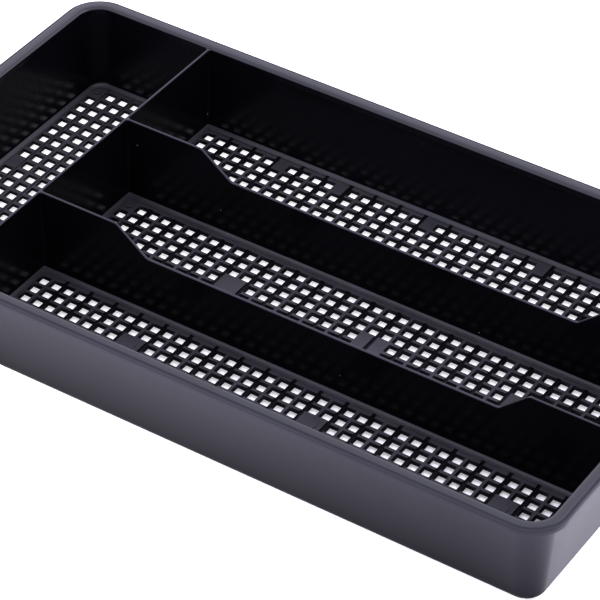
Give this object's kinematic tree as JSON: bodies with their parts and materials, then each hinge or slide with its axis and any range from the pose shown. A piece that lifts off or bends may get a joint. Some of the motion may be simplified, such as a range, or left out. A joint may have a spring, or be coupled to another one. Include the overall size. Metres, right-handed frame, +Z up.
{
  "type": "drawer organizer insert",
  "caption": "Shallow black plastic drawer organizer tray with a rolled rim, mesh floor, one crosswise compartment and three long compartments with lowered dividers.",
  "frame": {"origin": "centre of the footprint on the plane the tray rests on", "axes": "+X along the long side, away from the crosswise compartment; +Y to the rear; +Z up, out of the open top"},
  "size_m": [0.3506, 0.1986, 0.0432],
  "materials": {
    "moulded_plastic": "semi-gloss black moulding"
  },
  "bodies": {
    "root": {"rim": "moulded_plastic", "wall_front": "moulded_plastic", "wall_rear": "moulded_plastic", "wall_left": "moulded_plastic", "wall_right": "moulded_plastic", "corner_front_left": "moulded_plastic", "corner_rear_left": "moulded_plastic", "corner_front_right": "moulded_plastic", "corner_rear_right": "moulded_plastic", "floor_mesh_left": "moulded_plastic", "floor_mesh_rear": "moulded_plastic", "floor_mesh_middle": "moulded_plastic", "floor_mesh_front": "moulded_plastic", "floor_border": "moulded_plastic", "divider_cross": "moulded_plastic", "divider_rear": "moulded_plastic", "divider_front": "moulded_plastic"}
  },
  "joints": []
}
